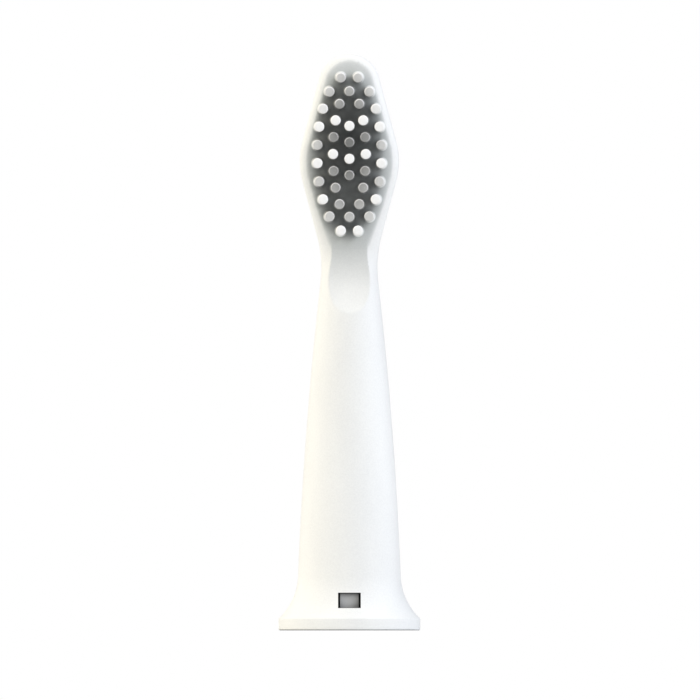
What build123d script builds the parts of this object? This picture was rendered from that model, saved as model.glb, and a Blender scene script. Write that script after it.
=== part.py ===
from build123d import *
import os
from math import cos, radians, sin, sqrt, tan

# Brush head of an electric toothbrush, standing on the rim of its base.
# Millimetres. Z runs up the centre line, the nubs face -Y, and the origin is the
# centre of the face that the rim stands on. A drop is measured down from the nose.

# Outer form of the moulded body.
HEIGHT = 75.0
RIM_RADIUS = 9.23
RIM_HEIGHT = 1.52
RIM_EDGE = 0.22
FLARE_RADIUS = 8.0
CONE_BASE_RADIUS = 6.68
CONE_BASE_Z = 7.3
NECK_RADIUS = 3.41
NECK_DROP = 26.6
CONE_BOW = 0.41
CONE_STEPS = 3
CONE_TOP_DROP = 13.0

# Head plate, seen from the front and from the side.
NOSE_RADIUS = 4.0
FLANK_ANGLE = 15.0
HEAD_HALF_WIDTH = 6.46
HEAD_CORNER_RADIUS = 10.0
FOOT_HALF_WIDTH = 2.6
FACE_DEPTH = 2.45
BACK_DEPTH = 2.2
FACE_EDGE = 1.25
BACK_EDGE = 1.8
NECK_BLEND = 2.5

# Scoop that runs the flat face out through the front of the neck.
SCOOP_DROP = 28.0
SCOOP_RADIUS = 10.0
SCOOP_SWEEP = 40.0

# Walls and hollows of the body.
WALL = 1.4
SEAT_TOP_Z = 9.5
SEAT_STEP = 0.15
WIDE_BORE_TOP_Z = 26.0
NARROW_BORE_DROP = 35.0
WINDOW_WIDTH = 2.95
WINDOW_HEIGHT = 2.0
WINDOW_Z = 3.9

# Soft pad and its nubs.
PAD_LIP = 0.75
PAD_THICKNESS = 1.2
PAD_FOOT_DROP = 25.4
PAD_GAP = 0.02
NUB_RADIUS = 0.665
NUB_HEIGHT = 6.5
OUTER_RING_COUNT = 20
OUTER_RING_INSET = 2.28
OUTER_RING_DROP = 2.65
OUTER_RING_FOOT_DROP = 23.32
INNER_RING_COUNT = 16
INNER_RING_HALF_WIDTH = 2.13
INNER_RING_SHORTFALL = 2.16
COLUMN_COUNT = 4
COLUMN_PITCH = 2.14
COLUMN_OFFSET = 0.45
SHORT_NUB_DROP = 2.0
MIDDLE_NUB_DROP = 0.8
KEY_WIDTH = 1.5
KEY_DEPTH = 1.1
KEY_ANGLE = 15.0

# Drive socket, the insert that the shaft of the handle enters.
SOCKET_GAP = 0.03
SLEEVE_WALL = 0.95
SLEEVE_FOOT_Z = 1.0
WEB_THICKNESS = 2.0
POST_RADIUS = 3.3
POST_TOP_Z = 24.0
BORE_RADIUS = 2.0
BORE_DEPTH = 14.5
KEYED_RADIUS = 1.75
BORE_LEAD = 0.5
FLAT_DEPTH = 0.35
PILOT_LENGTH = 6.5
FIN_THICKNESS = 0.9
FIN_GAP = 0.1
TAB_GAP = 0.26
TAB_RECESS = 1.0
FINGER_SLOT = 0.5
FINGER_LENGTH = 6.0

# Spring clip round the post.
SPRING_THICKNESS = 0.35
SPRING_HEIGHT = 4.0
SPRING_Z = 18.5
SPRING_GAP = 0.03
SPRING_MOUTH = 70.0
SPRING_PRELOAD = 0.05

# Long, middle and short nubs, read from the nose down each side.
NUB_DROPS = {"L": 0.0, "M": MIDDLE_NUB_DROP, "S": SHORT_NUB_DROP}
OUTER_RING_PATTERN = "SSMLSLSLSL"
INNER_RING_PATTERN = "SSLSLSSSS"
COLUMN_PATTERN = "LSLS"

# Solids that stand on their own lower face.
LOW = (Align.CENTER, Align.CENTER, Align.MIN)

# Places that follow from the sizes above.
NECK_Z = HEIGHT - NECK_DROP
CONE_TOP_Z = HEIGHT - CONE_TOP_DROP
SCOOP_Z = HEIGHT - SCOOP_DROP
PAD_FOOT_Z = HEIGHT - PAD_FOOT_DROP
FLANK = radians(FLANK_ANGLE)
NOSE_Z = HEIGHT - NOSE_RADIUS
CORNER_HALF_WIDTH = HEAD_HALF_WIDTH + HEAD_CORNER_RADIUS * (1 / cos(FLANK) - 1)
WIDEST_Z = NOSE_Z - (CORNER_HALF_WIDTH - NOSE_RADIUS / cos(FLANK)) / tan(FLANK)
FOOT_Z = WIDEST_Z - (CORNER_HALF_WIDTH - FOOT_HALF_WIDTH) / tan(FLANK)
CHORD = Vector(NECK_RADIUS - CONE_BASE_RADIUS, NECK_Z - CONE_BASE_Z)
CONE_ARC_RADIUS = (CHORD.length**2 / 4 + CONE_BOW**2) / (2 * CONE_BOW)
CHORD_MIDDLE = Vector((NECK_RADIUS + CONE_BASE_RADIUS) / 2, (NECK_Z + CONE_BASE_Z) / 2)
CONE_CENTRE = CHORD_MIDDLE - Vector(CHORD.Y, -CHORD.X).normalized() * (CONE_ARC_RADIUS - CONE_BOW)

# The flare is an arc that is tangent to the cone and ends on the rim's top edge.
RIM_TOP = Vector(RIM_RADIUS, RIM_HEIGHT)
REACH = CONE_ARC_RADIUS + FLARE_RADIUS
SPAN = (RIM_TOP - CONE_CENTRE).length
ALONG = (REACH**2 - FLARE_RADIUS**2 + SPAN**2) / (2 * SPAN)
ACROSS = sqrt(REACH**2 - ALONG**2)
TO_RIM = (RIM_TOP - CONE_CENTRE).normalized()
FLARE_CENTRE = CONE_CENTRE + TO_RIM * ALONG + Vector(-TO_RIM.Y, TO_RIM.X) * ACROSS


def cone_radius(z, inset=0.0):
    # The side of the cone is one long arc, and an inset keeps its centre.
    return CONE_CENTRE.X + sqrt((CONE_ARC_RADIUS - inset) ** 2 - (z - CONE_CENTRE.Y) ** 2)


# Heights and radii inside.
SEAT_RADIUS = FLARE_CENTRE.X - FLARE_RADIUS - WALL + SEAT_STEP
SLEEVE_RADIUS = SEAT_RADIUS - SOCKET_GAP
WEB_Z = SEAT_TOP_Z - WEB_THICKNESS
PILOT_Z = WEB_Z + BORE_LEAD
FLAT_Y = KEYED_RADIUS - FLAT_DEPTH
LEAF_Y = FLAT_Y - SPRING_PRELOAD
NARROW_BORE_TOP_Z = HEIGHT - NARROW_BORE_DROP
WIDE_BORE_RADIUS = cone_radius(WIDE_BORE_TOP_Z, WALL)
NARROW_BORE_RADIUS = cone_radius(NARROW_BORE_TOP_Z, WALL)
OUTER_RING_TOP_Z = HEIGHT - OUTER_RING_DROP
OUTER_RING_FOOT_Z = HEIGHT - OUTER_RING_FOOT_DROP
INNER_RING_TOP_Z = OUTER_RING_TOP_Z - INNER_RING_SHORTFALL
INNER_RING_FOOT_Z = OUTER_RING_FOOT_Z + INNER_RING_SHORTFALL


def upright(edges):
    # A closed loop drawn with x across and y up becomes a face in the front plane.
    return Plane.XZ * make_face(edges)


def cone_points(bottom):
    # Straight tapers stand in for the long arc, with their ends on it.
    step = (CONE_TOP_Z - bottom) / CONE_STEPS
    heights = [bottom + step * number for number in range(CONE_STEPS + 1)]
    return [(cone_radius(z), z) for z in heights]


def flare_radius(z, inset=0.0):
    return FLARE_CENTRE.X - sqrt((FLARE_RADIUS + inset) ** 2 - (FLARE_CENTRE.Y - z) ** 2)


def flare_height(radius, inset=0.0):
    return FLARE_CENTRE.Y - sqrt((FLARE_RADIUS + inset) ** 2 - (FLARE_CENTRE.X - radius) ** 2)


def outer_solid():
    tangent = CONE_CENTRE + (FLARE_CENTRE - CONE_CENTRE).normalized() * CONE_ARC_RADIUS
    to_middle = (RIM_TOP + tangent - FLARE_CENTRE * 2).normalized()
    side = cone_points(tangent.Y)
    edges = [
        Line((0, 0), (RIM_RADIUS, 0)),
        Line((RIM_RADIUS, 0), RIM_TOP),
        ThreePointArc(RIM_TOP, FLARE_CENTRE + to_middle * FLARE_RADIUS, tangent),
        *Polyline(*side).edges(),
        Line(side[-1], (0, CONE_TOP_Z)),
        Line((0, CONE_TOP_Z), (0, 0)),
    ]
    solid = revolve(upright(edges), axis=Axis.Z)
    circles = solid.edges().filter_by(GeomType.CIRCLE)
    return chamfer(circles.filter_by_position(Axis.Z, 0, RIM_HEIGHT), RIM_EDGE)


def hollow():
    # The skirt keeps one wall under the flare, the seat above it takes the socket and
    # ends in a shoulder, and two bores of shrinking size follow the cone.
    skirt_radius = RIM_RADIUS - WALL
    skirt_top = flare_height(skirt_radius, WALL)
    seat_foot = flare_height(SEAT_RADIUS, WALL)
    middle_z = (skirt_top + seat_foot) / 2
    points = [
        (0, 0),
        (skirt_radius, 0),
        (skirt_radius, skirt_top),
        (flare_radius(middle_z, WALL), middle_z),
        (SEAT_RADIUS, seat_foot),
        (SEAT_RADIUS, SEAT_TOP_Z),
        (WIDE_BORE_RADIUS, SEAT_TOP_Z),
        (WIDE_BORE_RADIUS, WIDE_BORE_TOP_Z),
        (NARROW_BORE_RADIUS, WIDE_BORE_TOP_Z),
        (NARROW_BORE_RADIUS, NARROW_BORE_TOP_Z),
        (0, NARROW_BORE_TOP_Z),
    ]
    return revolve(upright(Polyline(*points, close=True).edges()), axis=Axis.Z)


def head_outline(inset, foot_z):
    # Nose arc, straight flanks and a wide arc at each side, all tangent.
    nose = NOSE_RADIUS - inset
    corner = HEAD_CORNER_RADIUS - inset
    corner_x = HEAD_HALF_WIDTH - HEAD_CORNER_RADIUS
    widest = HEAD_HALF_WIDTH - inset
    foot_x = (CORNER_HALF_WIDTH - inset / cos(FLANK)) - (WIDEST_Z - foot_z) * tan(FLANK)
    right = [(nose * cos(FLANK), NOSE_Z + nose * sin(FLANK))]
    right.append((corner_x + corner * cos(FLANK), WIDEST_Z + corner * sin(FLANK)))
    right.append((corner_x + corner * cos(FLANK), WIDEST_Z - corner * sin(FLANK)))
    right.append((foot_x, foot_z))
    left = [(-x, z) for x, z in right]
    edges = [
        ThreePointArc(left[0], (0, NOSE_Z + nose), right[0]),
        Line(right[0], right[1]),
        ThreePointArc(right[1], (widest, WIDEST_Z), right[2]),
        Line(right[2], right[3]),
        Line(right[3], left[3]),
        Line(left[3], left[2]),
        ThreePointArc(left[2], (-widest, WIDEST_Z), left[1]),
        Line(left[1], left[0]),
    ]
    return upright(edges)


def plate_solid():
    outline = head_outline(0.0, FOOT_Z)
    plate = Pos(0, BACK_DEPTH, 0) * extrude(outline, amount=FACE_DEPTH + BACK_DEPTH, dir=(0, -1, 0))
    above_foot = FOOT_Z + FACE_EDGE
    back_edges = plate.faces().sort_by(Axis.Y)[-1].edges()
    plate = fillet(back_edges.filter_by_position(Axis.Z, above_foot, HEIGHT), BACK_EDGE)
    face_edges = plate.faces().sort_by(Axis.Y)[0].edges()
    return fillet(face_edges.filter_by_position(Axis.Z, above_foot, HEIGHT), FACE_EDGE)


def scoop():
    # Everything in front of the flat face, ending in an arc that climbs out of the neck.
    half = radians(SCOOP_SWEEP / 2)
    middle = (-FACE_DEPTH - SCOOP_RADIUS * (1 - cos(half)), SCOOP_Z - SCOOP_RADIUS * sin(half))
    sweep = radians(SCOOP_SWEEP)
    end = (-FACE_DEPTH - SCOOP_RADIUS * (1 - cos(sweep)), SCOOP_Z - SCOOP_RADIUS * sin(sweep))
    front = -2 * RIM_RADIUS
    above = HEIGHT + NOSE_RADIUS
    edges = [
        Line((-FACE_DEPTH, above), (-FACE_DEPTH, SCOOP_Z)),
        ThreePointArc((-FACE_DEPTH, SCOOP_Z), middle, end),
        Line(end, (front, end[1])),
        Line((front, end[1]), (front, above)),
        Line((front, above), (-FACE_DEPTH, above)),
    ]
    return extrude(Plane.YZ * make_face(edges), amount=2 * HEAD_HALF_WIDTH, both=True)


def brush_body():
    # The blend runs along the curved edges in which the plate leaves the neck.
    body = outer_solid() + plate_solid()
    above = body.edges().filter_by_position(Axis.Z, FOOT_Z, HEIGHT)
    seam = above.filter_by(lambda edge: edge.geom_type not in (GeomType.LINE, GeomType.CIRCLE))
    body = fillet(seam, NECK_BLEND) - scoop()
    body -= hollow()
    body -= window()
    return body - pad_base(0.0) - pad_key(0.0)


def window():
    # A square-cornered window in the front of the skirt shows the snap tab.
    cutter = Box(WINDOW_WIDTH, RIM_RADIUS, WINDOW_HEIGHT, align=(Align.CENTER, Align.MAX, Align.CENTER))
    return Pos(0, SLEEVE_WALL - SLEEVE_RADIUS, WINDOW_Z) * cutter


def pad_base(gap):
    # The pad keeps a lip of the plate all round and ends in a straight foot above the neck.
    # Its edge follows the rounding of the plate, so that the two lie flush.
    outline = head_outline(PAD_LIP + gap, PAD_FOOT_Z + gap)
    slab = Pos(0, PAD_THICKNESS - FACE_DEPTH, 0) * extrude(outline, amount=PAD_THICKNESS, dir=(0, -1, 0))
    return slab & plate_solid()


def pad_key(gap):
    # A dovetail key behind the pad locks it into the plate.
    foot = KEY_WIDTH / 2 - gap
    back = foot + KEY_DEPTH * tan(radians(KEY_ANGLE))
    front = PAD_THICKNESS - FACE_DEPTH
    deep = front + KEY_DEPTH - gap
    corners = [(foot, front), (back, deep), (-back, deep), (-foot, front)]
    section = make_face(Polyline(*corners, close=True).edges())
    length = INNER_RING_TOP_Z - INNER_RING_FOOT_Z - 2 * gap
    return Pos(0, 0, INNER_RING_FOOT_Z + gap) * extrude(section, amount=length)


def ring_nubs(half_width, top, foot, count, first, pattern):
    # Even steps along an ellipse, counted in steps from its top.
    middle = (top + foot) / 2
    ellipse = Pos(0, middle) * Edge.make_ellipse(half_width, (top - foot) / 2, start_angle=90, end_angle=450)
    nubs = []
    for number in range(count):
        step = first + number
        from_top = int(min(step, count - step))
        nubs.append((ellipse.position_at(step / count), pattern[from_top % len(pattern)]))
    return nubs


def column_nubs():
    middle = (OUTER_RING_TOP_Z + OUTER_RING_FOOT_Z) / 2 + COLUMN_OFFSET
    top = middle + (COLUMN_COUNT - 1) / 2 * COLUMN_PITCH
    nubs = []
    for number in range(COLUMN_COUNT):
        place = Vector(0, top - number * COLUMN_PITCH)
        nubs.append((place, COLUMN_PATTERN[number % len(COLUMN_PATTERN)]))
    return nubs


def all_nubs():
    outer_width = HEAD_HALF_WIDTH - OUTER_RING_INSET
    outer_ends = (OUTER_RING_TOP_Z, OUTER_RING_FOOT_Z)
    inner_ends = (INNER_RING_TOP_Z, INNER_RING_FOOT_Z)
    outer = ring_nubs(outer_width, *outer_ends, OUTER_RING_COUNT, 0.5, OUTER_RING_PATTERN)
    inner = ring_nubs(INNER_RING_HALF_WIDTH, *inner_ends, INNER_RING_COUNT, 0, INNER_RING_PATTERN)
    return outer + inner + column_nubs()


def nub_pad():
    # The nubs stand on the flat face, and pad and nubs are one moulding.
    pad = pad_base(PAD_GAP) + pad_key(PAD_GAP)
    nubs = []
    for place, length in all_nubs():
        nub = Cylinder(NUB_RADIUS, NUB_HEIGHT - NUB_DROPS[length], align=LOW)
        nubs.append(Pos(place.X, -FACE_DEPTH, place.Y) * Rot(90, 0, 0) * nub)
    return pad.fuse(*nubs)


def drive_socket():
    # A sleeve that stands in the seat, a web across it, and a post with the shaft's bore.
    sleeve_inner = SLEEVE_RADIUS - SLEEVE_WALL
    socket = Pos(0, 0, SLEEVE_FOOT_Z) * Cylinder(SLEEVE_RADIUS, SEAT_TOP_Z - SLEEVE_FOOT_Z, align=LOW)
    socket -= Pos(0, 0, SLEEVE_FOOT_Z) * Cylinder(sleeve_inner, WEB_Z - SLEEVE_FOOT_Z, align=LOW)
    socket += Pos(0, 0, SEAT_TOP_Z) * Cylinder(POST_RADIUS, POST_TOP_Z - SEAT_TOP_Z, align=LOW)
    socket += socket_fins()
    socket += snap_tab(sleeve_inner)
    socket -= finger_slots(sleeve_inner)
    socket -= shaft_bore()
    return socket - spring_groove()


def socket_fins():
    # Four fins steady the post in the wide bore.
    reach = WIDE_BORE_RADIUS - FIN_GAP
    length = SPRING_Z - SPRING_HEIGHT - SEAT_TOP_Z
    blade = Box(2 * reach, FIN_THICKNESS, length, align=LOW)
    fins = (blade + Rot(0, 0, 90) * blade) & Cylinder(reach, length, align=LOW)
    return Pos(0, 0, SEAT_TOP_Z) * fins


def snap_tab(sleeve_inner):
    # The tab reaches through the skirt's gap and stands in the window, short of its face.
    depth = flare_radius(WINDOW_Z) - TAB_RECESS - sleeve_inner
    width = WINDOW_WIDTH - 2 * TAB_GAP
    height = WINDOW_HEIGHT - TAB_GAP / 2
    tab = Box(width, depth, height, align=(Align.CENTER, Align.MAX, Align.MIN))
    return Pos(0, -sleeve_inner, WINDOW_Z - WINDOW_HEIGHT / 2 + SOCKET_GAP) * tab


def finger_slots(sleeve_inner):
    # A slot on each side of the tab frees a springy finger in the sleeve.
    offset = (WINDOW_WIDTH + FINGER_SLOT) / 2
    slot = Box(FINGER_SLOT, SLEEVE_RADIUS, FINGER_LENGTH, align=(Align.CENTER, Align.MAX, Align.MIN))
    slots = Part()
    for side in (-1, 1):
        slots += Pos(side * offset, -sleeve_inner / 2, SLEEVE_FOOT_Z) * slot
    return slots


def shaft_bore():
    # Lead-in cone, round pilot, and above it a slimmer bore with one flat for the shaft's tip.
    lead = Pos(0, 0, WEB_Z) * Cone(BORE_RADIUS + BORE_LEAD, BORE_RADIUS, BORE_LEAD, align=LOW)
    pilot = Pos(0, 0, PILOT_Z) * Cylinder(BORE_RADIUS, PILOT_LENGTH, align=LOW)
    keyed = Cylinder(KEYED_RADIUS, BORE_DEPTH - PILOT_LENGTH, align=LOW)
    land = Box(4 * KEYED_RADIUS, KEYED_RADIUS, BORE_DEPTH, align=(Align.CENTER, Align.MIN, Align.MIN))
    keyed -= Pos(0, FLAT_Y, 0) * land
    return lead + pilot + Pos(0, 0, PILOT_Z + PILOT_LENGTH) * keyed


def spring_outline(inner, outer):
    # A ring cut off by a flat at the back and open at the front.
    ring = Circle(outer) - Circle(inner)
    beyond = Rectangle(2 * outer, outer, align=(Align.CENTER, Align.MIN))
    ring -= Pos(0, LEAF_Y + SPRING_THICKNESS) * beyond
    half = sqrt(outer**2 - (LEAF_Y + SPRING_THICKNESS) ** 2)
    leaf = Pos(0, LEAF_Y) * Rectangle(2 * half, SPRING_THICKNESS, align=(Align.CENTER, Align.MIN))
    return (ring + leaf) & Circle(outer)


def spring_groove():
    # The clip sits in a groove that opens into the bore behind the flat.
    inner = POST_RADIUS - SPRING_THICKNESS - SPRING_GAP
    ring = Circle(2 * POST_RADIUS) - Circle(inner)
    beyond = Rectangle(4 * POST_RADIUS, 2 * POST_RADIUS, align=(Align.CENTER, Align.MIN))
    back = Pos(0, LEAF_Y - SPRING_GAP) * beyond
    groove = extrude(ring + back, amount=SPRING_HEIGHT + 2 * SPRING_GAP)
    return Pos(0, 0, SPRING_Z - SPRING_HEIGHT / 2 - SPRING_GAP) * groove


def retaining_spring():
    outline = spring_outline(POST_RADIUS - SPRING_THICKNESS, POST_RADIUS)
    half = POST_RADIUS * tan(radians(SPRING_MOUTH / 2))
    corners = [(0, 0), (half, -POST_RADIUS), (-half, -POST_RADIUS)]
    mouth = make_face(Polyline(*corners, close=True).edges())
    clip = extrude(outline - mouth, amount=SPRING_HEIGHT)
    return Pos(0, 0, SPRING_Z - SPRING_HEIGHT / 2) * clip


PIECES = {
    "brush_body": brush_body,
    "nub_pad": nub_pad,
    "drive_socket": drive_socket,
    "retaining_spring": retaining_spring,
}

os.makedirs("parts", exist_ok=True)
for name, build in PIECES.items():
    export_step(build(), f"parts/{name}.step")
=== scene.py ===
from math import atan2, cos, hypot, pi, radians, sin, sqrt, tan

import bmesh
import bpy
from mathutils import Matrix, Vector


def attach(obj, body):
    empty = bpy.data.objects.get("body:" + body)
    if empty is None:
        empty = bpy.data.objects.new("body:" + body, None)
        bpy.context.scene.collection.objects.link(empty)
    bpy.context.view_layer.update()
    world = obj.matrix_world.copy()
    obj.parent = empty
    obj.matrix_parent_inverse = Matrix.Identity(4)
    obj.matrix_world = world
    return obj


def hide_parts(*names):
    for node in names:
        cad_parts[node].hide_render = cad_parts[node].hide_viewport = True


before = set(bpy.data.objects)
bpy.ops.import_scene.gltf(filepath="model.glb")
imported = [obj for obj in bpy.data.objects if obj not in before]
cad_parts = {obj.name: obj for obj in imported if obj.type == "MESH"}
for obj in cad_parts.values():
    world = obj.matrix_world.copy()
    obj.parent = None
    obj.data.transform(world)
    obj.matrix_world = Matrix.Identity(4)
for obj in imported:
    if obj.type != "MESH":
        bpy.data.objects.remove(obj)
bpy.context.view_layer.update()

mm = 0.001
creaseAngle = 35                            # degrees, edges with a wider turn stay sharp
weld = 0.0005                               # mm, vertices nearer than this are one
touch = 0.001                               # mm, slack when edges are picked by their place
print("frame loaded:", sorted(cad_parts))


def hexColour(code):
    # sRGB hex to the linear colour that the shader wants
    values = [int(code[i:i + 2], 16) / 255 for i in (1, 3, 5)]
    return [v / 12.92 if v <= 0.04045 else ((v + 0.055) / 1.055) ** 2.4 for v in values] + [1.0]


def addNode(tree, kind, inputs=None, **settings):
    # an input is either a value or a socket of an earlier node
    node = tree.nodes.new(kind)
    for name, value in settings.items():
        setattr(node, name, value)
    for name, value in (inputs or {}).items():
        if isinstance(value, bpy.types.NodeSocket):
            tree.links.new(value, node.inputs[name])
        else:
            node.inputs[name].default_value = value
    return node


def patternScale(size):
    # scale of a noise whose spots are about this many mm wide
    return 1 / (size * mm)


def startMaterial(name):
    material = bpy.data.materials.new(name)
    material.use_nodes = True
    material.node_tree.nodes.clear()
    return material, material.node_tree


def finishMaterial(tree, shader):
    addNode(tree, "ShaderNodeOutputMaterial", {"Surface": shader.outputs["BSDF"]})


paintedShadeOcclusion = {"distance": 6.5, "lean": (0.45, 0.0, 0.5), "samples": 32}      # reach in mm and lean to the light, of the occlusion behind the painted shade


def occlusionForPaintedShade(tree):
    # ambient occlusion that the materials turn into painted shade: 0 deep between the nubs and near 1 in
    # the open
    normal = addNode(tree, "ShaderNodeNewGeometry").outputs["Normal"]
    leaning = addNode(tree, "ShaderNodeVectorMath", {0: normal, 1: paintedShadeOcclusion["lean"]}, operation="ADD")
    unit = addNode(tree, "ShaderNodeVectorMath", {0: leaning.outputs["Vector"]}, operation="NORMALIZE")
    near = addNode(tree, "ShaderNodeAmbientOcclusion", {
        "Distance": paintedShadeOcclusion["distance"] * mm, "Normal": unit.outputs["Vector"]},
        samples=paintedShadeOcclusion["samples"])
    return near.outputs["AO"]


def toneRamp(tree, factor, stops):
    ramp = addNode(tree, "ShaderNodeValToRGB", {"Fac": factor})
    row = ramp.color_ramp.elements
    row[0].position, row[0].color = stops[0][0], hexColour(stops[0][1])
    row[1].position, row[1].color = stops[-1][0], hexColour(stops[-1][1])
    for position, code in stops[1:-1]:
        row.new(position).color = hexColour(code)
    return ramp.outputs["Color"]


def mixColours(tree, factor, first, second, blend="MIX"):
    # each colour is a hex code or a socket
    mixed = addNode(tree, "ShaderNodeMix", {"Factor": factor}, data_type="RGBA", blend_type=blend)
    for place, colour in ((6, first), (7, second)):
        if isinstance(colour, str):
            mixed.inputs[place].default_value = hexColour(colour)
        else:
            tree.links.new(colour, mixed.inputs[place])
    return mixed.outputs[2]


bodyFinishAndShade = {
    "light": "#f8faf9", "deep": "#eef0f0",
    "cloud": 5.0, "speck": 0.2, "streak": 0.3,              # mm, mm, and the cloud's stretch up the stem
    "spread": (0.6, 1.4),                                   # range of the two noises together
    "grain": 0.32, "grainDepth": 0.012, "grainShare": 0.6,  # mm, drawn coarser than the real 0.1 mm
    "roughness": (0.42, 0.52), "ior": 1.49,
    "shade": ((0.15, "#8f9090"), (0.3, "#afb0b0"), (0.42, "#cdcecd"),
              (0.55, "#f0f1f0"), (0.85, "#ffffff")),        # painted shade, by occlusion
    "face": "#dfe1e2", "flatFrom": 0.92,                    # painted shade on a surface that looks straight forward
    "shadeFrom": 43.0, "shadeTo": 51.0,                     # mm, heights where the head's painted shade sets in
    # painted shade in the hollow and in the window's gaps, by occlusion
    "hollow": ((0.0, "#161616"), (0.2, "#6a6b6b"), (0.5, "#ffffff")),
}


def mouldedTone(tree, place):
    # white plastic drifts a little in tone where the melt has flowed, and has a fine speckle
    look = bodyFinishAndShade
    along = addNode(tree, "ShaderNodeMapping", {"Vector": place, "Scale": (1.0, 1.0, look["streak"])})
    cloud = addNode(tree, "ShaderNodeTexNoise", {
        "Vector": along.outputs["Vector"], "Scale": patternScale(look["cloud"]), "Detail": 2.0})
    speck = addNode(tree, "ShaderNodeTexNoise", {
        "Vector": place, "Scale": patternScale(look["speck"]), "Detail": 1.0})
    both = addNode(tree, "ShaderNodeMath", {0: cloud.outputs["Fac"], 1: speck.outputs["Fac"]})
    share = addNode(tree, "ShaderNodeMapRange", {
        "Value": both.outputs["Value"], "From Min": look["spread"][0], "From Max": look["spread"][1]})
    return mixColours(tree, share.outputs["Result"], look["light"], look["deep"])


def paintedHeadShade(tree, occlusion):
    # painted shade on the head: darker between the nubs, and darker over the flat face than on its round
    # rim
    look = bodyFinishAndShade
    normal = addNode(tree, "ShaderNodeNewGeometry").outputs["Normal"]
    facing = addNode(tree, "ShaderNodeSeparateXYZ", {"Vector": normal}).outputs["Y"]
    flat = addNode(tree, "ShaderNodeMapRange", {
        "Value": facing, "From Min": -look["flatFrom"], "From Max": -1.0})
    face = mixColours(tree, flat.outputs["Result"], "#ffffff", look["face"])
    return mixColours(tree, 1.0, toneRamp(tree, occlusion, look["shade"]), face, "MULTIPLY")


def mouldedPolypropylene():
    # polypropylene moulded in a spark-eroded tool: soft white, fine even grain, satin shine, with painted
    # shade on the head and in the hollow
    look = bodyFinishAndShade
    material, tree = startMaterial("moulded_polypropylene")
    place = addNode(tree, "ShaderNodeTexCoord").outputs["Object"]
    height = addNode(tree, "ShaderNodeSeparateXYZ", {"Vector": place}).outputs["Z"]
    head = addNode(tree, "ShaderNodeMapRange", {
        "Value": height, "From Min": look["shadeFrom"] * mm, "From Max": look["shadeTo"] * mm},
        interpolation_type="SMOOTHSTEP")
    occlusion = occlusionForPaintedShade(tree)
    hollow = toneRamp(tree, occlusion, look["hollow"])
    shade = mixColours(tree, head.outputs["Result"], hollow, paintedHeadShade(tree, occlusion))
    tone = mixColours(tree, 1.0, mouldedTone(tree, place), shade, "MULTIPLY")
    grain = addNode(tree, "ShaderNodeTexNoise", {
        "Vector": place, "Scale": patternScale(look["grain"]), "Detail": 3.0})
    shine = addNode(tree, "ShaderNodeMapRange", {
        "Value": grain.outputs["Fac"], "To Min": look["roughness"][0], "To Max": look["roughness"][1]})
    bump = addNode(tree, "ShaderNodeBump", {
        "Height": grain.outputs["Fac"], "Strength": look["grainShare"],
        "Distance": look["grainDepth"] * mm})
    shader = addNode(tree, "ShaderNodeBsdfPrincipled", {
        "Base Color": tone, "Roughness": shine.outputs["Result"], "IOR": look["ior"],
        "Normal": bump.outputs["Normal"]})
    finishMaterial(tree, shader)
    return material


nubFinishAndPaintedLight = {
    # "rim" and the "edge" ramp paint a highlight on the rounded edges of the tips
    "free": "#fbfcfc", "rim": "#ffffff",
    "edge": ((0.1, "#000000"), (0.35, "#ffffff"), (0.8, "#ffffff"), (0.97, "#000000")),
    "highlightLow": 0.1, "highlightHigh": 0.9, "highlightTurn": 0.7,       # strength of the painted highlight on a tip's lower and upper side
    "shortTipShade": ((0.02, "#d2d3d2"), (0.22, "#b8b9b8"), (0.35, "#a6a7a6"),
             (0.48, "#9c9d9c"), (0.8, "#868786")),          # painted shade on the shorter tips, from the outside of the field to its middle
    "centreZ": 62.8, "reach": (4.18, 10.5),                 # mm, half width and half height of the field
    "polishRise": (0.05, 0.5), "shortRise": (2.5, 3.8),     # mm over the face, where each look sets in; lower down the colour holds more painted shade
    "edgeRise": (3.8, 4.2), "freeRise": (5.0, 6.2),
    "ripple": 0.9, "rippleDepth": 0.006, "rippleShare": 0.4,    # mm
    "roughness": (0.2, 0.32), "ior": 1.45,
}


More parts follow.
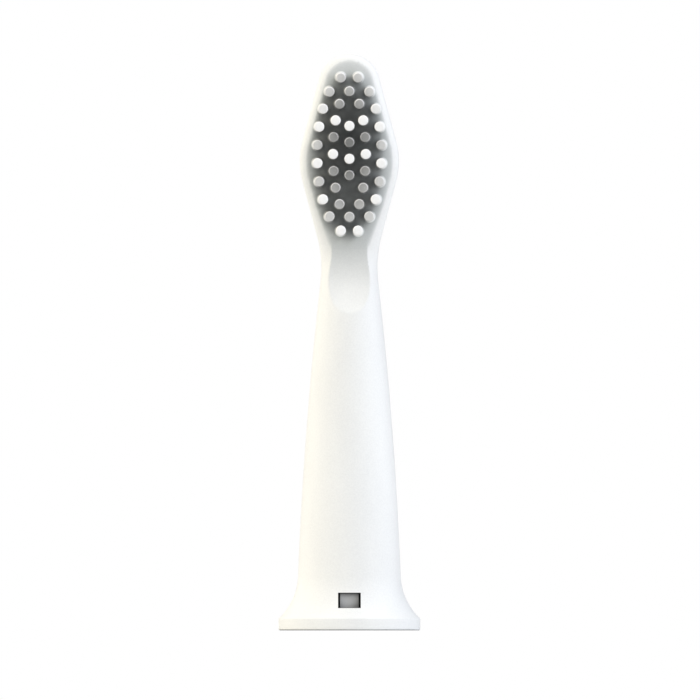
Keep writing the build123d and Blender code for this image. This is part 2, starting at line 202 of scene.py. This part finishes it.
def mouldedElastomer():
    # milky thermoplastic elastomer moulded in a polished tool: white where it stands free, with painted
    # shade greying the shorter nubs and down between them, and a smooth wet-looking shine on the nubs
    look = nubFinishAndPaintedLight
    material, tree = startMaterial("moulded_elastomer")
    place = addNode(tree, "ShaderNodeTexCoord").outputs["Object"]
    depth = addNode(tree, "ShaderNodeSeparateXYZ", {"Vector": place}).outputs["Y"]

    def rise(heights):
        # 0 to 1 between two heights over the face
        low, high = heights
        return addNode(tree, "ShaderNodeMapRange", {
            "Value": depth, "From Min": -(body["faceDepth"] + low) * mm,
            "From Max": -(body["faceDepth"] + high) * mm},
            interpolation_type="SMOOTHSTEP").outputs["Result"]

    # the sheet between the nubs carries the same painted shade as the head of the body
    sheet = mixColours(tree, 1.0, mouldedTone(tree, place), paintedHeadShade(tree, occlusionForPaintedShade(tree)), "MULTIPLY")
    wide, tall = look["reach"]
    centred = addNode(tree, "ShaderNodeMapping", {
        "Vector": place, "Location": (0, 0, -look["centreZ"] / tall),
        "Scale": (1 / (wide * mm), 0, 1 / (tall * mm))})
    inward = addNode(tree, "ShaderNodeTexGradient", {"Vector": centred.outputs["Vector"]},
                     gradient_type="SPHERICAL")
    # painted shade: the middle of the field gets the least light
    shadedShortTips = toneRamp(tree, inward.outputs["Fac"], look["shortTipShade"])
    upper = mixColours(tree, rise(look["shortRise"]), sheet, shadedShortTips)
    nub = mixColours(tree, rise(look["freeRise"]), upper, look["free"])
    # painted highlight: the rounded edge of a tip is painted lighter, most of all on its upper side
    normal = addNode(tree, "ShaderNodeNewGeometry").outputs["Normal"]
    turned = addNode(tree, "ShaderNodeSeparateXYZ", {"Vector": normal})
    facing = addNode(tree, "ShaderNodeMath", {0: turned.outputs["Y"], 1: -1.0}, operation="MULTIPLY")
    edge = toneRamp(tree, facing.outputs["Value"], look["edge"])
    upwardHighlight = addNode(tree, "ShaderNodeMapRange", {
        "Value": turned.outputs["Z"], "From Min": -look["highlightTurn"], "From Max": look["highlightTurn"],
        "To Min": look["highlightLow"], "To Max": look["highlightHigh"]})
    share = addNode(tree, "ShaderNodeMath", {0: edge, 1: upwardHighlight.outputs["Result"]}, operation="MULTIPLY")
    tipHighlight = addNode(tree, "ShaderNodeMath", {0: share.outputs["Value"], 1: rise(look["edgeRise"])},
                    operation="MULTIPLY")
    tone = mixColours(tree, tipHighlight.outputs["Value"], nub, look["rim"])
    grain = addNode(tree, "ShaderNodeTexNoise", {
        "Vector": place, "Scale": patternScale(bodyFinishAndShade["grain"]), "Detail": 3.0})
    satinLow, satinHigh = bodyFinishAndShade["roughness"]
    satin = addNode(tree, "ShaderNodeMapRange", {
        "Value": grain.outputs["Fac"], "To Min": satinLow, "To Max": satinHigh})
    ripple = addNode(tree, "ShaderNodeTexNoise", {
        "Vector": place, "Scale": patternScale(look["ripple"]), "Detail": 2.0})
    polish = addNode(tree, "ShaderNodeMapRange", {
        "Value": ripple.outputs["Fac"], "To Min": look["roughness"][0], "To Max": look["roughness"][1]})
    shine = addNode(tree, "ShaderNodeMix", {
        0: rise(look["polishRise"]), 2: satin.outputs["Result"], 3: polish.outputs["Result"]},
        data_type="FLOAT")
    bump = addNode(tree, "ShaderNodeBump", {
        "Height": ripple.outputs["Fac"], "Strength": look["rippleShare"],
        "Distance": look["rippleDepth"] * mm})
    shader = addNode(tree, "ShaderNodeBsdfPrincipled", {
        "Base Color": tone, "Roughness": shine.outputs[0], "IOR": look["ior"],
        "Normal": bump.outputs["Normal"]})
    finishMaterial(tree, shader)
    return material


socketFinishAndShade = {
    "light": "#dfe1e3", "deep": "#d1d3d5",
    "cloud": 2.5, "grain": 0.25, "grainDepth": 0.008, "grainShare": 0.5,    # mm
    "roughness": 0.4, "ior": 1.48,
    # painted shade down in the gaps, by occlusion
    "paintedGapShade": ((0.0, "#060606"), (0.3, "#7c7c7c"), (0.8, "#ffffff")),
}


def mouldedAcetal():
    # acetal moulded in a ground tool: cool light grey, a little waxy, with painted shade dark down in its
    # gaps
    look = socketFinishAndShade
    material, tree = startMaterial("moulded_acetal")
    place = addNode(tree, "ShaderNodeTexCoord").outputs["Object"]
    cloud = addNode(tree, "ShaderNodeTexNoise", {
        "Vector": place, "Scale": patternScale(look["cloud"]), "Detail": 2.0})
    grain = addNode(tree, "ShaderNodeTexNoise", {
        "Vector": place, "Scale": patternScale(look["grain"]), "Detail": 3.0})
    tone = mixColours(tree, 1.0, mixColours(tree, cloud.outputs["Fac"], look["light"], look["deep"]),
                      toneRamp(tree, occlusionForPaintedShade(tree), look["paintedGapShade"]), "MULTIPLY")
    bump = addNode(tree, "ShaderNodeBump", {
        "Height": grain.outputs["Fac"], "Strength": look["grainShare"],
        "Distance": look["grainDepth"] * mm})
    shader = addNode(tree, "ShaderNodeBsdfPrincipled", {
        "Base Color": tone, "Roughness": look["roughness"], "IOR": look["ior"],
        "Normal": bump.outputs["Normal"]})
    finishMaterial(tree, shader)
    return material


springFinish = {
    "light": "#cfd0d2", "deep": "#aeb0b4", "roughness": (0.2, 0.38),
    "line": 0.05, "stretch": 12.0,                          # mm wide, and how many times longer than wide
}


def rolledStainless():
    # stainless strip, cold rolled: bright with fine lines along the rolling direction
    look = springFinish
    material, tree = startMaterial("rolled_stainless")
    place = addNode(tree, "ShaderNodeTexCoord").outputs["Object"]
    stretched = addNode(tree, "ShaderNodeMapping", {
        "Vector": place, "Scale": (1.0, 1.0, look["stretch"])})
    lines = addNode(tree, "ShaderNodeTexNoise", {
        "Vector": stretched.outputs["Vector"], "Detail": 2.0,
        "Scale": patternScale(look["stretch"] * look["line"])})
    tone = mixColours(tree, lines.outputs["Fac"], look["light"], look["deep"])
    shine = addNode(tree, "ShaderNodeMapRange", {
        "Value": lines.outputs["Fac"], "To Min": look["roughness"][0], "To Max": look["roughness"][1]})
    shader = addNode(tree, "ShaderNodeBsdfPrincipled", {
        "Base Color": tone, "Metallic": 1.0, "Roughness": shine.outputs["Result"]})
    finishMaterial(tree, shader)
    return material


def smoothFaces(mesh):
    mesh.shade_smooth()
    mesh.set_sharp_from_angle(angle=radians(creaseAngle))


def makePiece(bm, name, material):
    # the finished mesh goes in metres, with its place in its vertices
    mesh = bpy.data.meshes.new(name)
    bmesh.ops.scale(bm, vec=(mm, mm, mm), verts=bm.verts[:])
    bm.to_mesh(mesh)
    bm.free()
    smoothFaces(mesh)
    piece = bpy.data.objects.new(name, mesh)
    bpy.context.scene.collection.objects.link(piece)
    mesh.materials.append(material)
    return piece


def combine(piece, cutter, operation):
    # one boolean, applied, so that no live modifier is left
    modifier = piece.modifiers.new("cut", "BOOLEAN")
    modifier.object = cutter
    modifier.operation = operation
    modifier.solver = "EXACT"
    graph = bpy.context.evaluated_depsgraph_get()
    mesh = bpy.data.meshes.new_from_object(piece.evaluated_get(graph))
    piece.modifiers.clear()
    piece.data = mesh
    smoothFaces(mesh)


# brush body: the stem is lathed, then its top is pressed into the head plate
body = {
    "height": 75.0, "rimRadius": 9.23, "rimHeight": 1.52, "rimRounding": 0.2, "creaseRounding": 0.07,
    "flareRadius": 8.0, "flareCentre": (14.680, 7.372),         # radius and height
    "coneBase": (6.68, 7.3), "neck": (3.41, 48.4), "bow": 0.41,
    "stemTopZ": 62.0, "footZ": 45.3,
    "noseRadius": 4.0, "flankAngle": 15.0, "halfWidth": 6.46, "cornerRadius": 10.0,
    "faceDepth": 2.45, "backDepth": 2.2, "faceRounding": 1.25, "backRounding": 1.8,
    "neckRounding": 1.85, "neckRoundingZ": (55.0, 50.0),        # the edge of the face gets rounder here
    "frontBlend": 0.3, "neckBlend": 1.1, "blendY": (-2.0, 0.0),     # plate into stem, in front and behind
    "scoopZ": 47.0, "scoopRadius": 10.0, "scoopSweep": 40.0, "pastScoop": 10.0,
    "scoopRounding": 0.1, "scoopRoundingZ": (48.0, 46.0),
    "wall": 1.4, "seatRadius": 5.433, "seatTopZ": 9.5, "wideTopZ": 26.0, "narrowTopZ": 40.0,
    "windowWidth": 2.95, "windowHeight": 2.0, "windowZ": 3.9, "windowReach": 1.0,
    "pressFromZ": 40.2, "flatten": 0.45, "flattenOver": 12.0,   # rays lean to the sides in the flat head
    "blankRadius": 3.4, "pressReach": (0.3, 12.0), "halvings": 20,
    "around": 192, "skirtSteps": 10, "flareSteps": 28, "coneSteps": 26,
    "neckSteps": 56, "headSteps": 84, "noseSteps": 26, "roundingSteps": 3,
}
flank = radians(body["flankAngle"])
noseZ = body["height"] - body["noseRadius"]
cornerReach = body["halfWidth"] + body["cornerRadius"] * (1 / cos(flank) - 1)
widestZ = noseZ - (cornerReach - body["noseRadius"] / cos(flank)) / tan(flank)
chord = Vector((body["neck"][0] - body["coneBase"][0], body["neck"][1] - body["coneBase"][1]))
coneArc = (chord.length ** 2 / 4 + body["bow"] ** 2) / (2 * body["bow"])
chordMiddle = (Vector(body["neck"]) + Vector(body["coneBase"])) / 2
coneCentre = chordMiddle - Vector((chord.y, -chord.x)).normalized() * (coneArc - body["bow"])


def coneRadius(z, inset=0.0):
    return coneCentre.x + sqrt((coneArc - inset) ** 2 - (z - coneCentre.y) ** 2)


def flareRadiusAt(z, inset):
    centreRadius, centreZ = body["flareCentre"]
    return centreRadius - sqrt((body["flareRadius"] + inset) ** 2 - (centreZ - z) ** 2)


def flareHeightAt(radius, inset):
    centreRadius, centreZ = body["flareCentre"]
    return centreZ - sqrt((body["flareRadius"] + inset) ** 2 - (centreRadius - radius) ** 2)


def plateInset(x, z):
    # how far a point lies inside the outline of the head, seen from the front
    x = abs(x)
    if z > noseZ and atan2(z - noseZ, x) >= flank:
        return body["noseRadius"] - hypot(x, z - noseZ)
    cornerX = body["halfWidth"] - body["cornerRadius"]
    turn = atan2(z - widestZ, x - cornerX)
    if abs(turn) <= flank:
        return body["cornerRadius"] - hypot(x - cornerX, z - widestZ)
    if turn > 0:
        return body["noseRadius"] - x * cos(flank) - (z - noseZ) * sin(flank)
    return body["cornerRadius"] - (x - cornerX) * cos(flank) + (z - widestZ) * sin(flank)


def faceDepthAt(z):
    # the flat face runs out through the neck in an arc
    below = body["scoopZ"] - z
    if below <= 0:
        return body["faceDepth"]
    if below >= body["scoopRadius"] * sin(radians(body["scoopSweep"])):
        return body["faceDepth"] + body["pastScoop"]
    return body["faceDepth"] + body["scoopRadius"] - sqrt(body["scoopRadius"] ** 2 - below ** 2)


def roundedCorner(a, b, radius):
    # outside distance of a corner between two walls, rounded
    return min(-radius, max(a, b)) + hypot(max(radius + a, 0.0), max(radius + b, 0.0))


def ease(value, ends):
    # 0 at the first end, 1 at the second, straight between
    low, high = ends
    return min(max((value - low) / (high - low), 0.0), 1.0)


def headField(x, y, z):
    # below zero inside the plastic
    stem = max(hypot(x, y) - coneRadius(min(z, body["stemTopZ"])), z - body["stemTopZ"])
    inset = plateInset(x, z)
    moreRounding = (body["neckRounding"] - body["faceRounding"]) * ease(z, body["neckRoundingZ"])
    plate = max(roundedCorner(-inset, y - body["backDepth"], body["backRounding"]),
                roundedCorner(-inset, -y - body["faceDepth"], body["faceRounding"] + moreRounding),
                body["footZ"] - z)
    blend = body["frontBlend"] + (body["neckBlend"] - body["frontBlend"]) * ease(y, body["blendY"])
    overlap = max(blend - abs(stem - plate), 0.0) / blend
    solid = min(stem, plate) - overlap * overlap * blend / 4
    scoopRounding = body["scoopRounding"] * ease(z, body["scoopRoundingZ"])
    return roundedCorner(solid, -y - faceDepthAt(z), scoopRounding)


def pressToHead(point):
    # a vertex slides along its own ray from the axis until it meets the surface of the head
    start = Vector((0.0, 0.0, min(point.z, noseZ)))
    ray = point - start
    flatFrom = body["pressFromZ"]
    ray.y *= 1.0 - body["flatten"] * ease(point.z, (flatFrom, flatFrom + body["flattenOver"]))
    ray.normalize()
    near, far = body["pressReach"]
    for halving in range(body["halvings"]):
        middle = (near + far) / 2
        place = start + ray * middle
        if headField(place.x, place.y, place.z) < 0:
            near = middle
        else:
            far = middle
    return start + ray * far


def bodyProfile():
    # closed half section from the top of the hollow, round the rim, to the nose
    wall, rim, rimTop = body["wall"], body["rimRadius"], body["rimHeight"]
    skirt = rim - wall
    wide = coneRadius(body["wideTopZ"], wall)
    narrow = coneRadius(body["narrowTopZ"], wall)
    points = [(0, body["narrowTopZ"]), (narrow, body["narrowTopZ"]), (narrow, body["wideTopZ"])]
    points += [(wide, body["wideTopZ"]), (wide, body["seatTopZ"]), (body["seatRadius"], body["seatTopZ"])]
    seatFoot = flareHeightAt(body["seatRadius"], wall)
    skirtTop = flareHeightAt(skirt, wall)
    for step in range(body["skirtSteps"] + 1):
        z = seatFoot + (skirtTop - seatFoot) * step / body["skirtSteps"]
        points.append((flareRadiusAt(z, wall), z))
    # two rings hold the rim straight between its rounded edges
    points += [(skirt, 0), (rim, 0), (rim, 2 * body["rimRounding"])]
    points += [(rim, rimTop - 2 * body["creaseRounding"]), (rim, rimTop)]
    toRim = Vector((rim, rimTop)) - Vector(body["flareCentre"])
    toCone = coneCentre - Vector(body["flareCentre"])
    start, end = atan2(toRim.y, toRim.x) % (2 * pi), atan2(toCone.y, toCone.x) % (2 * pi)
    for step in range(1, body["flareSteps"] + 1):
        turn = start + (end - start) * step / body["flareSteps"]
        points.append((body["flareCentre"][0] + body["flareRadius"] * cos(turn),
                       body["flareCentre"][1] + body["flareRadius"] * sin(turn)))
    low = points[-1][1]
    for step in range(1, body["coneSteps"] + 1):
        z = low + (body["pressFromZ"] - low) * step / body["coneSteps"]
        points.append((coneRadius(z), z))
    # above the stem comes a plain round blank, which is pressed into the head later
    blank, neckZ = body["blankRadius"], body["neck"][1]
    runs = ((body["pressFromZ"], neckZ, body["neckSteps"]), (neckZ, noseZ, body["headSteps"]))
    for start, end, count in runs:
        points += [(blank, start + (end - start) * step / count) for step in range(1, count + 1)]
    for step in range(1, body["noseSteps"]):
        turn = radians(90) * step / body["noseSteps"]
        points.append((blank * cos(turn), noseZ + blank * sin(turn)))
    points.append((0, noseZ + blank))
    return points


def onRimEdge(edge, level):
    return all(abs(vert.co.z - level) < touch and hypot(vert.co.x, vert.co.y) > body["rimRadius"] - touch
               for vert in edge.verts)


def bodyShell():
    bm = bmesh.new()
    verts = [bm.verts.new((radius, 0, z)) for radius, z in bodyProfile()]
    edges = [bm.edges.new(pair) for pair in zip(verts, verts[1:])]
    bmesh.ops.spin(bm, geom=verts + edges, cent=(0, 0, 0), axis=(0, 0, 1), angle=2 * pi,
                   steps=body["around"], use_merge=True)
    bmesh.ops.remove_doubles(bm, verts=bm.verts[:], dist=weld)
    bmesh.ops.recalc_face_normals(bm, faces=bm.faces[:])
    for level, offset in ((0.0, body["rimRounding"]), (body["rimHeight"], body["creaseRounding"])):
        ring = [edge for edge in bm.edges if onRimEdge(edge, level)]
        bmesh.ops.bevel(bm, geom=ring, offset=offset, segments=body["roundingSteps"], profile=0.5,
                        affect="EDGES", material=-1)
    for vert in bm.verts:
        if vert.co.z > body["pressFromZ"] + touch:
            vert.co = pressToHead(vert.co)
    return bm


def boxCutter(low, high):
    bm = bmesh.new()
    bmesh.ops.create_cube(bm, size=1.0)
    middle = (Vector(low) + Vector(high)) / 2
    bmesh.ops.scale(bm, vec=Vector(high) - Vector(low), verts=bm.verts[:])
    bmesh.ops.translate(bm, vec=middle, verts=bm.verts[:])
    return makePiece(bm, "box_cutter", mouldedWhite)


# nub pad: a sheet in the face with forty round pegs
pad = {
    "lip": 0.75, "thickness": 1.2, "footZ": 49.6,
    "nubRadius": 0.665, "nubHeight": 6.5, "nubRounding": 0.23, "rootRounding": 0.18,
    "outer": {"inset": 2.28, "margin": 2.65, "footZ": 51.68,
              "count": 20, "first": 0.5, "pattern": "SSMLSLSLSL"},
    "inner": {"halfWidth": 2.13, "shortfall": 2.16, "count": 16, "first": 0.0, "pattern": "SSLSLSSSS"},
    "column": {"count": 4, "pitch": 2.14, "offset": 0.45, "pattern": "LSLS"},
    "shorter": {"L": 0.0, "M": 0.8, "S": 2.0},              # mm, patterns are read from the nose down
    "sunk": 0.1,                                            # mm, how far a nub reaches into the sheet
    "around": 32, "cornerSteps": 12, "noseSteps": 24, "roundingSteps": 4, "samples": 1440,
    "rootTurns": (0, 30, 60, 90),                           # degrees round the root of a nub
}


def padOutline(inset, footZ):
    # nose arc, flanks and side arcs, drawn anticlockwise from the right foot
    nose = body["noseRadius"] - inset
    corner = body["cornerRadius"] - inset
    cornerX = body["halfWidth"] - body["cornerRadius"]
    footX = cornerReach - inset / cos(flank) - (widestZ - footZ) * tan(flank)
    right = [(footX, footZ)]
    for step in range(pad["cornerSteps"] + 1):
        turn = -flank + 2 * flank * step / pad["cornerSteps"]
        right.append((cornerX + corner * cos(turn), widestZ + corner * sin(turn)))
    for step in range(pad["noseSteps"] + 1):
        turn = flank + (radians(90) - flank) * step / pad["noseSteps"]
        right.append((nose * cos(turn), noseZ + nose * sin(turn)))
    left = [(-x, z) for x, z in reversed(right[:-1])]
    return right + left


def slabCutter(inset, footZ, back, front):
    # the outline of the pad, run from its back out past the face
    bm = bmesh.new()
    verts = [bm.verts.new((x, back, z)) for x, z in padOutline(inset, footZ)]
    face = bm.faces.new(verts)
    made = bmesh.ops.extrude_face_region(bm, geom=[face])
    moved = [item for item in made["geom"] if isinstance(item, bmesh.types.BMVert)]
    bmesh.ops.translate(bm, vec=(0, front - back, 0), verts=moved)
    bmesh.ops.recalc_face_normals(bm, faces=bm.faces[:])
    return makePiece(bm, "slab_cutter", mouldedWhite)


def ringPlaces(halfWidth, top, foot, ring):
    # even steps along an ellipse, counted from its top, each with its letter from the pattern
    samples = pad["samples"]
    middle, halfHeight = (top + foot) / 2, (top - foot) / 2
    turns = [radians(90) + 2 * pi * i / samples for i in range(samples + 1)]
    points = [Vector((halfWidth * cos(t), middle + halfHeight * sin(t))) for t in turns]
    lengths = [0.0]
    for a, b in zip(points, points[1:]):
        lengths.append(lengths[-1] + (b - a).length)
    places = []
    for number in range(ring["count"]):
        step = ring["first"] + number
        wanted = lengths[-1] * step / ring["count"]
        index = next(i for i in range(1, samples + 1) if lengths[i] >= wanted)
        share = (wanted - lengths[index - 1]) / (lengths[index] - lengths[index - 1])
        fromTop = int(min(step, ring["count"] - step))
        places.append((points[index - 1].lerp(points[index], share), ring["pattern"][fromTop]))
    return places


def nubPlaces():
    outer, inner, column = pad["outer"], pad["inner"], pad["column"]
    top = body["height"] - outer["margin"]
    foot = outer["footZ"]
    places = ringPlaces(body["halfWidth"] - outer["inset"], top, foot, outer)
    places += ringPlaces(inner["halfWidth"], top - inner["shortfall"], foot + inner["shortfall"], inner)
    columnTop = (top + foot) / 2 + column["offset"] + (column["count"] - 1) / 2 * column["pitch"]
    for number, letter in enumerate(column["pattern"]):
        places.append((Vector((0, columnTop - number * column["pitch"])), letter))
    return places


def addNub(bm, place, height):
    # half section of a round peg with a small root radius, spun, and rounded at the tip
    nub = bmesh.new()
    radius, root = pad["nubRadius"], pad["rootRounding"]
    turns = [radians(t) for t in pad["rootTurns"]]
    points = [(radius + root * (1 - sin(t)), root * (1 - cos(t))) for t in turns]
    points = [(0, -pad["sunk"]), (radius + root, -pad["sunk"])] + points + [(radius, height), (0, height)]
    verts = [nub.verts.new((x, 0, z)) for x, z in points]
    edges = [nub.edges.new(pair) for pair in zip(verts, verts[1:])]
    bmesh.ops.spin(nub, geom=verts + edges, cent=(0, 0, 0), axis=(0, 0, 1), angle=2 * pi,
                   steps=pad["around"], use_merge=True)
    bmesh.ops.remove_doubles(nub, verts=nub.verts[:], dist=weld)
    bmesh.ops.recalc_face_normals(nub, faces=nub.faces[:])
    rim = [edge for edge in nub.edges
           if all(v.co.z > height - touch and hypot(v.co.x, v.co.y) > radius / 2 for v in edge.verts)]
    bmesh.ops.bevel(nub, geom=rim, offset=pad["nubRounding"], segments=pad["roundingSteps"], profile=0.5,
                    affect="EDGES", material=-1)
    # stand it on the face, pointing forward
    bmesh.ops.rotate(nub, cent=(0, 0, 0), matrix=Matrix.Rotation(radians(90), 3, "X"), verts=nub.verts[:])
    bmesh.ops.translate(nub, vec=(place.x, -body["faceDepth"], place.y), verts=nub.verts[:])
    mesh = bpy.data.meshes.new("nub")
    nub.to_mesh(mesh)
    nub.free()
    bm.from_mesh(mesh)
    bpy.data.meshes.remove(mesh)


# the pieces are put together
mouldedWhite = mouldedPolypropylene()
softWhite = mouldedElastomer()
socketGrey = mouldedAcetal()
springSteel = rolledStainless()
print("materials ready")

bodyPiece = makePiece(bodyShell(), "brush_body_shell", mouldedWhite)
print("body lathed and pressed:", len(bodyPiece.data.polygons), "faces")

padPiece = bpy.data.objects.new("nub_pad_moulding", bodyPiece.data.copy())
bpy.context.scene.collection.objects.link(padPiece)
padBack = pad["thickness"] - body["faceDepth"]
pocket = slabCutter(pad["lip"], pad["footZ"], padBack, -2 * body["faceDepth"])
combine(padPiece, pocket, "INTERSECT")
combine(bodyPiece, pocket, "DIFFERENCE")
windowLow = (-body["windowWidth"] / 2, -body["rimRadius"] - body["windowReach"],
             body["windowZ"] - body["windowHeight"] / 2)
windowHigh = (body["windowWidth"] / 2, -body["seatRadius"], body["windowZ"] + body["windowHeight"] / 2)
window = boxCutter(windowLow, windowHigh)
combine(bodyPiece, window, "DIFFERENCE")
for tool in (pocket, window):
    bpy.data.objects.remove(tool)
print("pocket and window cut:", len(bodyPiece.data.polygons), "faces")

field = bmesh.new()
spots = nubPlaces()
for spot, letter in spots:
    addNub(field, spot, pad["nubHeight"] - pad["shorter"][letter])
bmesh.ops.scale(field, vec=(mm, mm, mm), verts=field.verts[:])
field.from_mesh(padPiece.data)
field.to_mesh(padPiece.data)
field.free()
padPiece.data.materials.clear()
padPiece.data.materials.append(softWhite)
smoothFaces(padPiece.data)
print("nubs standing:", len(spots))

for piece, node, slotName in (
        (bodyPiece, "brush_body", "body_plastic"), (padPiece, "nub_pad", "soft_nubs")):
    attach(piece, "root")
    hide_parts(node)

# the two pieces inside keep the solids' own meshes
for node, material in (("drive_socket", socketGrey), ("retaining_spring", springSteel)):
    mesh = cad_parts[node].data
    mesh.materials.clear()
    mesh.materials.append(material)


studio = {
    "floor": 1200.0, "fibre": 1.11, "fibreDepth": 0.02, "fibreShare": 0.1,      # mm
    "paper": "#dadada", "paperRoughness": 0.9,
    "level": 0.37, "sides": 1.72, "right": 0.15, "above": 0.75,     # strength of the tent, by direction
    "least": 0.05,
    "card": (0.64, 0.77, 0.0), "cardFrom": 0.55, "cardTo": 0.9, "cardDepth": 1.5,
    "warm": "#fff5e0", "plain": "#ffffff", "cool": "#f0f4ff",
    "frame": 91.14, "centreX": 0.078, "centreZ": 36.5, "distance": 600.0,   # mm, the camera's view
}


def studioFloor():
    # a sheet of matt paper, a little off white, so that it throws less light up the body
    material, tree = startMaterial("matt_paper")
    place = addNode(tree, "ShaderNodeTexCoord").outputs["Object"]
    fibre = addNode(tree, "ShaderNodeTexNoise", {
        "Vector": place, "Scale": patternScale(studio["fibre"]), "Detail": 2.0})
    bump = addNode(tree, "ShaderNodeBump", {
        "Height": fibre.outputs["Fac"], "Strength": studio["fibreShare"],
        "Distance": studio["fibreDepth"] * mm})
    shader = addNode(tree, "ShaderNodeBsdfPrincipled", {
        "Base Color": hexColour(studio["paper"]), "Roughness": studio["paperRoughness"],
        "Normal": bump.outputs["Normal"]})
    finishMaterial(tree, shader)
    bm = bmesh.new()
    bmesh.ops.create_grid(bm, x_segments=1, y_segments=1, size=studio["floor"])
    floor = makePiece(bm, "studio_floor", material)


def studioSky():
    # a white tent, brightest at both sides and overhead, with a dark card behind on the right, warm to
    # the left and cool to the right, and plain white where the camera looks past the object
    world = bpy.data.worlds.new("white_tent")
    bpy.context.scene.world = world
    world.use_nodes = True
    tree = world.node_tree
    tree.nodes.clear()
    sky = addNode(tree, "ShaderNodeTexCoord").outputs["Generated"]
    way = addNode(tree, "ShaderNodeSeparateXYZ", {"Vector": sky})
    x, z = way.outputs["X"], way.outputs["Z"]
    toCard = addNode(tree, "ShaderNodeVectorMath", {0: sky, 1: studio["card"]},
                     operation="DOT_PRODUCT").outputs["Value"]
    card = addNode(tree, "ShaderNodeMapRange", {
        "Value": toCard, "From Min": studio["cardFrom"], "From Max": studio["cardTo"]},
        interpolation_type="SMOOTHSTEP").outputs["Result"]
    strength = studio["level"]
    for first, second, share in ((x, x, studio["sides"]), (x, 1.0, studio["right"]),
                                 (z, 1.0, studio["above"]), (card, 1.0, -studio["cardDepth"])):
        product = addNode(tree, "ShaderNodeMath", {0: first, 1: second},
                          operation="MULTIPLY").outputs["Value"]
        strength = addNode(tree, "ShaderNodeMath", {0: product, 1: share, 2: strength},
                           operation="MULTIPLY_ADD").outputs["Value"]
    strength = addNode(tree, "ShaderNodeMath", {0: strength, 1: studio["least"]},
                       operation="MAXIMUM").outputs["Value"]
    across = addNode(tree, "ShaderNodeMapRange", {"Value": x, "From Min": -1.0})
    tint = toneRamp(tree, across.outputs["Result"], (
        (0.0, studio["warm"]), (0.5, studio["plain"]), (1.0, studio["cool"])))
    tent = addNode(tree, "ShaderNodeBackground", {"Color": tint, "Strength": strength})
    plain = addNode(tree, "ShaderNodeBackground", {"Color": (1, 1, 1, 1), "Strength": 1.0})
    seen = addNode(tree, "ShaderNodeLightPath").outputs["Is Camera Ray"]
    mixed = addNode(tree, "ShaderNodeMixShader", {
        0: seen, 1: tent.outputs["Background"], 2: plain.outputs["Background"]})
    addNode(tree, "ShaderNodeOutputWorld", {"Surface": mixed.outputs["Shader"]})


def studioCamera():
    data = bpy.data.cameras.new("camera")
    data.type = "ORTHO"
    data.ortho_scale = studio["frame"] * mm
    camera = bpy.data.objects.new("camera", data)
    camera.location = (studio["centreX"] * mm, -studio["distance"] * mm, studio["centreZ"] * mm)
    camera.rotation_euler = (radians(90), 0, 0)
    bpy.context.scene.collection.objects.link(camera)
    bpy.context.scene.camera = camera


studioFloor()
studioSky()
studioCamera()
bpy.context.scene.view_settings.view_transform = "Standard"
print("studio ready")
